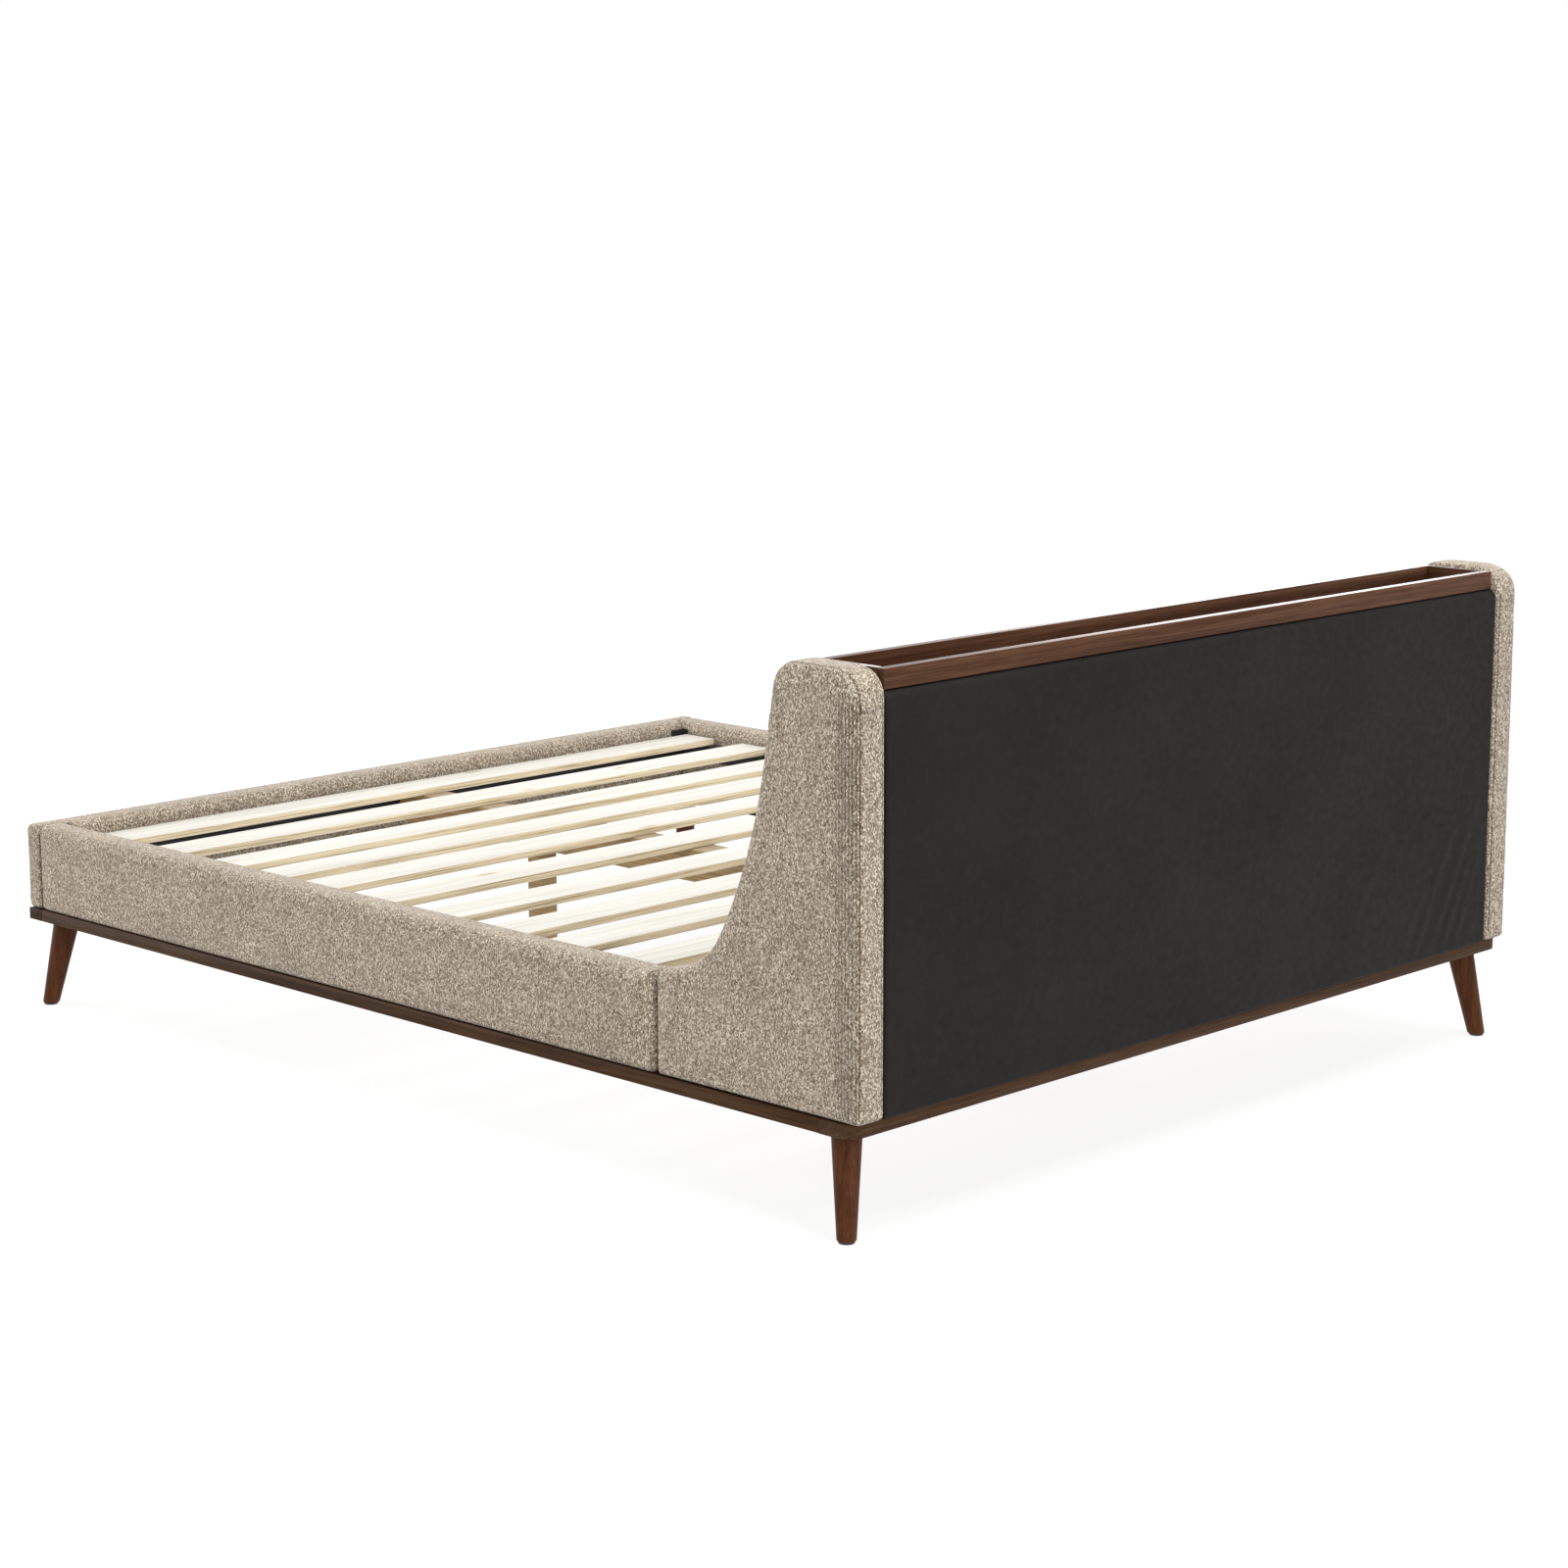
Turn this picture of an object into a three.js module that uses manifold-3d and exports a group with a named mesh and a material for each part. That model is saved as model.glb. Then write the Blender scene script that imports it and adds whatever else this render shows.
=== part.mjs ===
// Upholstered platform bed with a winged, sleigh-shaped headboard, a timber tray along the top of the
// headboard, a slatted base and a timber plinth on splayed, tapered legs.
// Millimetres, +Z up. X runs across the bed, +Y points to the head, z = 0 is the floor.
import * as THREE from "three";
import { mergeVertices } from "three/addons/utils/BufferGeometryUtils.js";
import Module from "manifold-3d";

const wasm = await Module();
wasm.setup();

// ---- Driving dimensions -------------------------------------------------------------------------
const bedWidth = 1950; // plinth, across
const bedLength = 2415; // plinth, foot to head
const headOverhang = 14; // upholstery past the plinth at the head
const footOverhang = 3; // upholstery past the plinth at the foot
const fit = 0.3; // gap between pieces that touch
const ease = 1.5; // gap between upholstered pieces and what stands between them

const legHeight = 187; // floor to underside of the plinth
const plinthThickness = 25;
const plinthHeadDepth = 75;
const plinthFootDepth = 46;
const plinthSideWidth = 70;
const plinthCornerRadius = 38; // rounded corners at the head

const railThickness = 70; // upholstered side rails
const footPanelThickness = 73.5; // foot panel with the pad on its inner face
const railTop = 396; // top of both
const coverRound = 16; // rounding along the top of the upholstery
const coverHem = 6; // rounding along its lower edge
const boardThickness = 22; // timber core of the upholstered pieces
const coreCover = 24; // padding over the edge of a core board

const wingThickness = 70;
const wingTop = 980;
const wingReach = 470; // wing, forward of the plinth's head end
const wingTopDepth = 199; // its depth where the top corner meets the straight front edge
const wingLean = 0.19; // forward run of its front edge for each unit down, near the top
const wingBevel = 9;
const wingHeadRoundRun = 71; // rounded top corner at the back, along the top
const wingHeadRoundDrop = 62; // and down the back
const wingFrontRound = 46; // rounded top corner at the front
const wingBendDrop = 99; // the straight front edge starts to sweep this far below the top
const wingHipRise = 79; // height above the rail where the sweep turns over into the toe
const wingHipRun = 147; // and its distance from the tip of the toe
const wingFootRise = 8; // the toe of the wing stands this much above the rail
const wingToeRound = 26;
const leastRound = 2;

const trayDepth = 160;
const trayHeight = 35;
const trayDrop = 7.5; // below the top of the wings
const trayBoard = 18;
const trayEnd = 15;
const trayFloor = 9;
const trayEndGap = 9; // between the tray's ends and the wings

const backPanelThickness = 24;
const backPanelRecess = 2.5; // inside the wings' back edge
const backPanelRound = 10;
const cushionThickness = 45;
const cushionBoard = 12;
const cushionRound = 14;
const cushionDrop = 9; // the cushion reaches this far below the top of the slats
const cushionSetBack = 8; // and lies this far behind the wings' front edge
const postThickness = 22;
const frameGap = 1; // between the leaning boards and the level frame pieces behind them

const slatTop = 366;
const slatThickness = 15;
const slatWidth = 98;
const slatEndGap = 8; // from a slat's end to the rail
const firstSlatGap = 22; // from the foot panel's pad to the first slat
const lastSlatGap = 10.5; // from the last slat to the cushion
const slatRhythm = [195, 197, 152, 154, 182, 195, 191, 162, 191, 155, 155]; // slat to slat

const ledgerWidth = 32;
const ledgerHeight = 40;
const beamWidth = 70;
const beamHeight = 70;
const centreLegFromFoot = 555; // centre legs, from the two ends of the plinth
const centreLegFromHead = 725;
const centreLegSize = 45;
const levellerHeight = 12;
const levellerRadius = 20;
const levellerEdge = 2; // chamfer round its foot
const levellerCrown = 4; // height of its sloping top
const levellerCollar = 5; // width of the flat ring round the stem
const levellerLift = 0.5; // its foot stands this much clear of the floor
const stemRadius = 4;
const stemLength = 45;
const levellerTravel = 10;
const levellerClear = 2; // left above the foot when it is screwed right in

const legTopRadius = 27.5;
const legTipRadius = 17;
const legTopInset = [55, 60]; // leg axis from the side and the end of the plinth, at the plinth
const legTipInset = [24, 31]; // and at the floor
const glideHeight = 5;
const glideRadius = 15.5;
const glideTaper = 1.5;
const boltRadius = 4;
const boltInLeg = 40;
const boltInPlinth = 20;
const boltClearance = 0.3;

const bracketSize = 42;
const bracketGauge = 4;
const bracketHeight = 26;
const bracketSlatGap = 2;
const overcut = 1; // a cutting tool runs this far past what it cuts

// ---- Derived places -----------------------------------------------------------------------------
const halfWidth = bedWidth / 2;
const headEnd = bedLength / 2;
const footEnd = -bedLength / 2;
const plinthTop = legHeight + plinthThickness;
const seat = plinthTop + fit; // what stands on the plinth starts here
const railInner = halfWidth - railThickness;
const wingInner = halfWidth - wingThickness;
const wingRear = headEnd + headOverhang;
const wingFront = headEnd - wingReach;
const footJoint = footEnd + plinthFootDepth; // rails and side plinths meet the foot pieces here
const footInner = footEnd - footOverhang + footPanelThickness;
const slatBottom = slatTop - slatThickness;
const insideHalf = wingInner - ease; // half the clear width between the wings
const trayHalf = wingInner - trayEndGap;
const baseHalf = Math.min(railInner, wingInner); // half the clear width for the slatted base
const trayRear = headEnd;
const trayFront = trayRear - trayDepth;
const trayTop = wingTop - trayDrop;
const trayBottom = trayTop - trayHeight;
const backFace = wingRear - backPanelRecess;
const frameRear = backFace - backPanelThickness - fit;
const cushionTop = trayBottom - fit;
const cushionBottom = slatTop - cushionDrop;

// The front edge of a wing where it runs straight, and the cushion that leans with it.
const wingTopFront = wingRear - wingTopDepth;
const leanFrom = wingTop - wingFrontRound;

function leanEdge(z) {
  return wingTopFront - (leanFrom - z) * wingLean;
}

// ---- Materials ----------------------------------------------------------------------------------
function material(color, roughness, metalness = 0) {
  return new THREE.MeshStandardMaterial({ color, roughness, metalness });
}

const finishes = {
  tweed: () => material(0xb0a18e, 0.95),
  leatherette: () => material(0x2d2b27, 0.55),
  walnut: () => material(0x553b2c, 0.45),
  legWalnut: () => material(0x5a3423, 0.42),
  pine: () => material(0xeadfc6, 0.7),
  plywood: () => material(0xc9a979, 0.75),
  blackTimber: () => material(0x1d1c1b, 0.8),
  blackSteel: () => material(0x161616, 0.5, 0.8),
  steel: () => material(0x9a9a98, 0.35, 1),
  blackPlastic: () => material(0x111111, 0.6),
};

// ---- Geometry helpers ---------------------------------------------------------------------------
const bed = new THREE.Group();
bed.position.y = -(headOverhang - footOverhang) / 2;

function addMesh(name, geometry, finish) {
  const mesh = new THREE.Mesh(geometry, finishes[finish]());
  mesh.name = name;
  bed.add(mesh);
}

// A board between two corners.
function board([x0, x1], [y0, y1], [z0, z1]) {
  const geometry = new THREE.BoxGeometry(x1 - x0, y1 - y0, z1 - z0);
  return geometry.translate((x0 + x1) / 2, (y0 + y1) / 2, (z0 + z1) / 2);
}

// A shape drawn in Y and Z, run along X from x0 to x1.
function runAcross(shape, x0, x1, bevel = 0) {
  const geometry = new THREE.ExtrudeGeometry(shape, {
    depth: x1 - x0 - 2 * bevel,
    curveSegments: 10,
    bevelEnabled: bevel > 0,
    bevelSize: bevel,
    bevelOffset: -bevel,
    bevelThickness: bevel,
    bevelSegments: 2,
  });
  const axes = new THREE.Matrix4().makeBasis(
    new THREE.Vector3(0, 1, 0),
    new THREE.Vector3(0, 0, 1),
    new THREE.Vector3(1, 0, 0),
  );
  return geometry.applyMatrix4(axes).translate(x0 + bevel, 0, 0);
}

// A shape drawn in X and Z, run along Y from y0 to y1.
function runAlong(shape, y0, y1) {
  const geometry = new THREE.ExtrudeGeometry(shape, {
    depth: y1 - y0,
    curveSegments: 6,
    bevelEnabled: false,
  });
  const axes = new THREE.Matrix4().makeBasis(
    new THREE.Vector3(1, 0, 0),
    new THREE.Vector3(0, 0, 1),
    new THREE.Vector3(0, -1, 0),
  );
  return geometry.applyMatrix4(axes).translate(0, y1, 0);
}

function polygon(points) {
  return new THREE.Shape(points.map(([a, b]) => new THREE.Vector2(a, b)));
}

// A closed section with a round at each corner: corners are [a, b, radius].
function roundedShape(corners) {
  const shape = new THREE.Shape();
  corners.forEach(([a, b, radius], i) => {
    const here = new THREE.Vector2(a, b);
    const [beforeA, beforeB] = corners[(i + corners.length - 1) % corners.length];
    const [afterA, afterB] = corners[(i + 1) % corners.length];
    const toBefore = new THREE.Vector2(beforeA, beforeB).sub(here).setLength(radius);
    const toAfter = new THREE.Vector2(afterA, afterB).sub(here).setLength(radius);
    const start = here.clone().add(toBefore);
    const end = here.clone().add(toAfter);
    if (i === 0) shape.moveTo(start.x, start.y);
    else shape.lineTo(start.x, start.y);
    if (radius > 0) shape.quadraticCurveTo(here.x, here.y, end.x, end.y);
  });
  shape.closePath();
  return shape;
}

function toSolid(geometry) {
  const bare = new THREE.BufferGeometry();
  const source = geometry.index ? geometry.toNonIndexed() : geometry;
  bare.setAttribute("position", source.getAttribute("position").clone());
  const merged = mergeVertices(bare, 1e-3);
  return new wasm.Manifold(
    new wasm.Mesh({
      numProp: 3,
      vertProperties: merged.attributes.position.array,
      triVerts: new Uint32Array(merged.index.array),
    }),
  );
}

function toGeometry(solid) {
  const mesh = solid.getMesh();
  const geometry = new THREE.BufferGeometry();
  geometry.setAttribute("position", new THREE.BufferAttribute(new Float32Array(mesh.vertProperties), 3));
  geometry.setIndex(new THREE.BufferAttribute(new Uint32Array(mesh.triVerts), 1));
  geometry.computeVertexNormals();
  return geometry;
}

function cut(geometry, ...tools) {
  let solid = toSolid(geometry);
  for (const tool of tools) solid = solid.subtract(toSolid(tool));
  return toGeometry(solid);
}

function join(first, second) {
  return toGeometry(toSolid(first).add(toSolid(second)));
}

function mirrored(geometry) {
  return toGeometry(toSolid(geometry).mirror([1, 0, 0]));
}

// Adds a piece made for the +X side and its twin on the other side.
function addPair(name, geometry, finish) {
  addMesh(`${name}_right`, geometry, finish);
  addMesh(`${name}_left`, mirrored(geometry), finish);
}

// ---- Plinth -------------------------------------------------------------------------------------
// The axis of the leg in one corner: signX and signY say which corner.
function legAxis(signX, signY) {
  const top = new THREE.Vector3(
    signX * (halfWidth - legTopInset[0]),
    signY * (headEnd - legTopInset[1]),
    legHeight,
  );
  const tip = new THREE.Vector3(
    signX * (halfWidth - legTipInset[0]),
    signY * (headEnd - legTipInset[1]),
    0,
  );
  return { top, tip, direction: top.clone().sub(tip).normalize() };
}

// Turns a lathe or cylinder that stands on local Y onto the leg's axis, with its origin at the plinth.
function ontoLegAxis(geometry, { top, direction }) {
  const turn = new THREE.Quaternion().setFromUnitVectors(new THREE.Vector3(0, 1, 0), direction);
  return geometry.applyQuaternion(turn).translate(top.x, top.y, top.z);
}

function boltRod(axis, radius, below, above) {
  const rod = new THREE.CylinderGeometry(radius, radius, below + above, 16);
  return ontoLegAxis(rod.translate(0, (above - below) / 2, 0), axis);
}

function boltHole(signX, signY) {
  return boltRod(
    legAxis(signX, signY),
    boltRadius + boltClearance,
    boltInLeg + overcut,
    boltInPlinth + overcut,
  );
}

function plinthHead() {
  const front = headEnd - plinthHeadDepth;
  const outline = roundedShape([
    [-halfWidth, front, 0],
    [halfWidth, front, 0],
    [halfWidth, headEnd, plinthCornerRadius],
    [-halfWidth, headEnd, plinthCornerRadius],
  ]);
  const slab = new THREE.ExtrudeGeometry(outline, {
    depth: plinthThickness,
    curveSegments: 10,
    bevelEnabled: false,
  }).translate(0, 0, legHeight);
  return cut(slab, boltHole(1, 1), boltHole(-1, 1));
}

function addPlinth() {
  const height = [legHeight, plinthTop];
  addMesh("plinth_head", plinthHead(), "walnut");
  addMesh(
    "plinth_foot",
    board([-halfWidth, halfWidth], [footEnd, footJoint], height),
    "walnut",
  );
  const side = board(
    [halfWidth - plinthSideWidth, halfWidth],
    [footJoint + fit, headEnd - plinthHeadDepth - fit],
    height,
  );
  addPair("plinth_side", cut(side, boltHole(1, -1)), "walnut");
}

// ---- Legs ---------------------------------------------------------------------------------------
function legBody(signX, signY) {
  const axis = legAxis(signX, signY);
  const length = axis.top.distanceTo(axis.tip);
  const spare = 12; // cut off level at the plinth and at the glide
  const grow = (legTopRadius - legTipRadius) / length;
  const profile = [
    [0, -length - spare],
    [legTipRadius - grow * spare, -length - spare],
    [legTopRadius + grow * spare, spare],
    [0, spare],
  ].map(([r, h]) => new THREE.Vector2(r, h));
  const turned = ontoLegAxis(new THREE.LatheGeometry(profile, 40), axis);
  const reach = 4 * legTopRadius + Math.max(...legTopInset);
  const middle = [signX * halfWidth, signY * headEnd];
  const span = (centre) => [centre - reach, centre + reach];
  const above = board(span(middle[0]), span(middle[1]), [legHeight - fit, legHeight + reach]);
  const below = board(span(middle[0]), span(middle[1]), [-reach, glideHeight + fit]);
  return cut(turned, above, below, boltHole(signX, signY));
}

function glide(signX, signY) {
  const { tip, top } = legAxis(signX, signY);
  const shift = glideHeight / 2 / legHeight;
  const disc = new THREE.CylinderGeometry(glideRadius, glideRadius - glideTaper, glideHeight, 32);
  disc.rotateX(Math.PI / 2);
  return disc.translate(
    tip.x + (top.x - tip.x) * shift,
    tip.y + (top.y - tip.y) * shift,
    glideHeight / 2,
  );
}

function addLegs() {
  const corners = [
    ["head_right", 1, 1],
    ["head_left", -1, 1],
    ["foot_right", 1, -1],
    ["foot_left", -1, -1],
  ];
  for (const [corner, signX, signY] of corners) {
    addMesh(`leg_${corner}`, legBody(signX, signY), "legWalnut");
    addMesh(`glide_${corner}`, glide(signX, signY), "blackPlastic");
    addMesh(
      `leg_bolt_${corner}`,
      boltRod(legAxis(signX, signY), boltRadius, boltInLeg, boltInPlinth),
      "steel",
    );
  }
}

// ---- Side rails and foot panel ------------------------------------------------------------------
// Section of an upholstered board: a padded sleeve, rounded on top, with a slot for the core that is
// open below. a0 and a1 are its two faces, core0 and core1 the faces of the core.
function sleeveSection(a0, a1, core0, core1) {
  const coreTop = railTop - coreCover;
  return roundedShape([
    [a0, seat, coverHem],
    [core0 - fit, seat, 0],
    [core0 - fit, coreTop + fit, 0],
    [core1 + fit, coreTop + fit, 0],
    [core1 + fit, seat, 0],
    [a1, seat, coverHem],
    [a1, railTop, coverRound],
    [a0, railTop, coverRound],
  ]);
}

function addSideRails() {
  const coreInner = halfWidth - (railThickness + boardThickness) / 2;
  const coreOuter = coreInner + boardThickness;
  const ends = [footJoint + fit, wingFront - fit];
  const sleeve = runAlong(sleeveSection(railInner, halfWidth, coreInner, coreOuter), ...ends);
  addPair("side_rail_cover", sleeve, "tweed");
  const core = board([coreInner, coreOuter], ends, [seat, railTop - coreCover]);
  addPair("side_rail_board", core, "plywood");
}

function addFootPanel() {
  const outer = footEnd - footOverhang;
  const coreOuter = outer + (footJoint - outer - boardThickness) / 2;
  const coreInner = coreOuter + boardThickness;
  const slab = runAcross(
    sleeveSection(outer, footJoint, coreOuter, coreInner),
    -halfWidth,
    halfWidth,
  );
  const padStart = (coreInner + footJoint) / 2; // rooted in the slab's inner skin
  const pad = runAcross(
    roundedShape([
      [padStart, seat, 0],
      [footInner, seat, coverHem],
      [footInner, railTop, coverRound],
      [padStart, railTop, 0],
    ]),
    -railInner + ease,
    railInner - ease,
  );
  addMesh("foot_panel_cover", join(slab, pad), "tweed");
  const core = board(
    [-halfWidth + coreCover, halfWidth - coreCover],
    [coreOuter, coreInner],
    [seat, railTop - coreCover],
  );
  addMesh("foot_panel_board", core, "plywood");
}

// ---- Wings --------------------------------------------------------------------------------------
// Side view of a wing, drawn in Y and Z, drawn in by inset all round except along its lower edge.
function wingOutline(inset) {
  const rear = wingRear - inset;
  const top = wingTop - inset;
  const front = wingFront + inset;
  const toeTop = railTop + wingFootRise - inset;
  const edge = (z) => leanEdge(z) + inset;
  const toeRound = Math.max(wingToeRound - inset, leastRound);
  const frontRound = Math.max(wingFrontRound - inset, leastRound);
  const rearRun = Math.max(wingHeadRoundRun - inset, leastRound);
  const rearDrop = Math.max(wingHeadRoundDrop - inset, leastRound);
  const hipZ = railTop + wingHipRise;
  const hip = front + wingHipRun;
  const bendZ = wingTop - wingBendDrop;
  const reach = edge(bendZ) - hip;
  const shape = new THREE.Shape();
  shape.moveTo(rear, seat);
  shape.lineTo(rear, top - rearDrop);
  shape.quadraticCurveTo(rear, top, rear - rearRun, top);
  shape.lineTo(edge(top) + frontRound, top);
  shape.quadraticCurveTo(edge(top), top, edge(top - frontRound), top - frontRound);
  shape.lineTo(edge(bendZ), bendZ);
  // The sweep and the toe: the handles of each curve are shares of its own run and rise.
  shape.bezierCurveTo(
    edge(bendZ) - 0.14 * reach,
    bendZ - 0.43 * (bendZ - hipZ),
    hip + 0.41 * reach,
    hipZ + 0.21 * (bendZ - hipZ),
    hip,
    hipZ,
  );
  shape.bezierCurveTo(
    hip - 0.18 * (hip - front),
    hipZ - 0.54 * (hipZ - toeTop),
    hip - 0.52 * (hip - front),
    toeTop + 0.14 * (hipZ - toeTop),
    front + toeRound,
    toeTop,
  );
  shape.quadraticCurveTo(front, toeTop, front, toeTop - toeRound);
  shape.lineTo(front, seat);
  shape.closePath();
  return shape;
}

function addWings() {
  const coreInner = halfWidth - (wingThickness + boardThickness) / 2;
  const coreOuter = coreInner + boardThickness;
  const core = runAcross(wingOutline(coreCover), coreInner, coreOuter);
  const slot = runAcross(wingOutline(coreCover - fit), coreInner - fit, coreOuter + fit);
  const below = board(
    [coreInner - fit, coreOuter + fit],
    [wingFront + coreCover - fit, wingRear - coreCover + fit],
    [legHeight, seat + overcut],
  );
  const padding = runAcross(wingOutline(0), wingInner, halfWidth, wingBevel);
  addPair("wing_cover", cut(padding, slot, below), "tweed");
  addPair("wing_board", core, "plywood");
}

// ---- Headboard ----------------------------------------------------------------------------------
// Run of the cushion's face back from the wings' edge, square to the bed.
function cushionFace(z, depth) {
  return leanEdge(z) + cushionSetBack + depth;
}

// A slanted slab that leans with the wings, between two depths behind the cushion's face.
function leaningSection(depth0, depth1, z0, z1, roundFront) {
  return roundedShape([
    [cushionFace(z0, depth0), z0, roundFront],
    [cushionFace(z0, depth1), z0, 0],
    [cushionFace(z1, depth1), z1, 0],
    [cushionFace(z1, depth0), z1, roundFront],
  ]);
}

function addHeadboard() {
  const cushionBack = cushionThickness;
  const boardBack = cushionBack + fit + cushionBoard;
  const frameFront = boardBack + fit;
  addMesh(
    "head_cushion",
    runAcross(
      leaningSection(0, cushionBack, cushionBottom, cushionTop, cushionRound),
      -insideHalf,
      insideHalf,
    ),
    "tweed",
  );
  addMesh(
    "head_cushion_board",
    runAcross(
      leaningSection(cushionBack + fit, boardBack, cushionBottom, cushionTop, 0),
      -insideHalf,
      insideHalf,
    ),
    "plywood",
  );
  const postShape = polygon([
    [cushionFace(seat, frameFront), seat],
    [frameRear, seat],
    [frameRear, cushionTop],
    [cushionFace(cushionTop, frameFront), cushionTop],
  ]);
  const postInner = insideHalf - postThickness;
  addPair("head_post", runAcross(postShape, postInner, insideHalf), "plywood");
  const between = [-postInner + fit, postInner - fit];
  addMesh(
    "head_top_rail",
    board(
      between,
      [cushionFace(cushionTop, frameFront) + frameGap, frameRear],
      [cushionTop - boardThickness, cushionTop],
    ),
    "plywood",
  );
  const crossFront = cushionFace(slatBottom, frameFront) + frameGap;
  addMesh(
    "head_cross_board",
    board(between, [crossFront, crossFront + boardThickness], [seat, slatBottom]),
    "plywood",
  );
  const panel = roundedShape([
    [frameRear + fit, seat, 0],
    [backFace, seat, backPanelRound / 2],
    [backFace, cushionTop, backPanelRound],
    [frameRear + fit, cushionTop, 0],
  ]);
  addMesh("back_panel", runAcross(panel, -insideHalf, insideHalf), "leatherette");
  const ledgerFoot = slatBottom - fit - ledgerHeight;
  return { crossFront, postFront: cushionFace(ledgerFoot, frameFront) };
}

function addTray() {
  const height = [trayBottom, trayTop];
  const across = [-trayHalf, trayHalf];
  addMesh("tray_rear", board(across, [trayRear - trayBoard, trayRear], height), "walnut");
  addMesh("tray_front", board(across, [trayFront, trayFront + trayBoard], height), "walnut");
  const inside = [trayFront + trayBoard + fit, trayRear - trayBoard - fit];
  addPair("tray_end", board([trayHalf - trayEnd, trayHalf], inside, height), "walnut");
  const floorHalf = trayHalf - trayEnd - fit;
  addMesh(
    "tray_floor",
    board([-floorHalf, floorHalf], inside, [trayBottom, trayBottom + trayFloor]),
    "walnut",
  );
}

// ---- Slatted base -------------------------------------------------------------------------------
function addSlats() {
  const half = baseHalf - slatEndGap;
  const first = footInner + firstSlatGap + slatWidth / 2;
  const last = cushionFace(slatTop, 0) - lastSlatGap - slatWidth / 2;
  const beats = slatRhythm.reduce((sum, beat) => sum + beat, 0);
  let centre = first;
  [0, ...slatRhythm].forEach((beat, i) => {
    centre += ((last - first) * beat) / beats;
    const ends = [centre - slatWidth / 2, centre + slatWidth / 2];
    const number = String(i + 1).padStart(2, "0");
    addMesh(`slat_${number}`, board([-half, half], ends, [slatBottom, slatTop]), "pine");
  });
}

function addSupports({ crossFront, postFront }) {
  const height = [slatBottom - fit - ledgerHeight, slatBottom - fit];
  const ledgerOuter = baseHalf - fit;
  const ledgerInner = ledgerOuter - ledgerWidth;
  const ledgerEnd = postFront - fit;
  const padFace = footInner + fit;
  addPair(
    "side_ledger",
    board([ledgerInner, ledgerOuter], [padFace, ledgerEnd], height),
    "blackTimber",
  );
  const footLedgerEnds = ledgerInner - fit;
  const footLedger = [padFace, padFace + ledgerWidth];
  addMesh(
    "foot_ledger",
    board([-footLedgerEnds, footLedgerEnds], footLedger, height),
    "blackTimber",
  );
  const beamBottom = slatBottom - fit - beamHeight;
  addMesh(
    "centre_beam",
    board(
      [-beamWidth / 2, beamWidth / 2],
      [footLedger[1] + fit, crossFront - fit],
      [beamBottom, slatBottom - fit],
    ),
    "pine",
  );
  addCentreLeg("foot", footEnd + centreLegFromFoot, beamBottom);
  addCentreLeg("head", headEnd - centreLegFromHead, beamBottom);
}

// A post under the centre beam with a screw-in leveller below it.
function addCentreLeg(name, y, beamBottom) {
  const half = centreLegSize / 2;
  const bottom = levellerLift + levellerHeight + levellerTravel + levellerClear;
  const hole = new THREE.CylinderGeometry(
    stemRadius + boltClearance,
    stemRadius + boltClearance,
    2 * (stemLength + levellerTravel),
    24,
  );
  hole.rotateX(Math.PI / 2).translate(0, y, bottom);
  const post = board([-half, half], [y - half, y + half], [bottom, beamBottom - fit]);
  addMesh(`centre_leg_${name}`, cut(post, hole), "pine");
  const profile = [
    [0, 0],
    [levellerRadius - levellerEdge, 0],
    [levellerRadius, levellerEdge],
    [levellerRadius, levellerHeight - levellerCrown],
    [stemRadius + levellerCollar, levellerHeight],
    [stemRadius, levellerHeight],
    [stemRadius, levellerHeight + stemLength],
    [0, levellerHeight + stemLength],
  ].map(([r, h]) => new THREE.Vector2(r, h));
  const leveller = new THREE.LatheGeometry(profile, 32);
  leveller.rotateX(Math.PI / 2).translate(0, y, levellerLift);
  addMesh(`leveller_${name}`, leveller, "blackPlastic");
}

// Steel angles in the two foot corners, above the ledgers.
function addCornerBrackets() {
  const outer = railInner - fit;
  const face = footInner + fit;
  const armEnd = footInner + firstSlatGap - bracketSlatGap;
  const shape = polygon([
    [outer, face],
    [outer, armEnd],
    [outer - bracketGauge, armEnd],
    [outer - bracketGauge, face + bracketGauge],
    [outer - bracketSize, face + bracketGauge],
    [outer - bracketSize, face],
  ]);
  const angle = new THREE.ExtrudeGeometry(shape, { depth: bracketHeight, bevelEnabled: false });
  addPair("corner_bracket", angle.translate(0, 0, slatBottom), "blackSteel");
}

addPlinth();
addLegs();
addSideRails();
addFootPanel();
addWings();
const headFrame = addHeadboard();
addTray();
addSlats();
addSupports(headFrame);
addCornerBrackets();

export default bed;
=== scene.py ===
"""Looks of the sleigh bed: padded upholstery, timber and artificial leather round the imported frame.

Metres, Z up. The head of the bed is towards +Y and its right side towards +X.
"""

import math

import bmesh
import bpy
import numpy as np
from mathutils import Matrix, Vector


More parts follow.
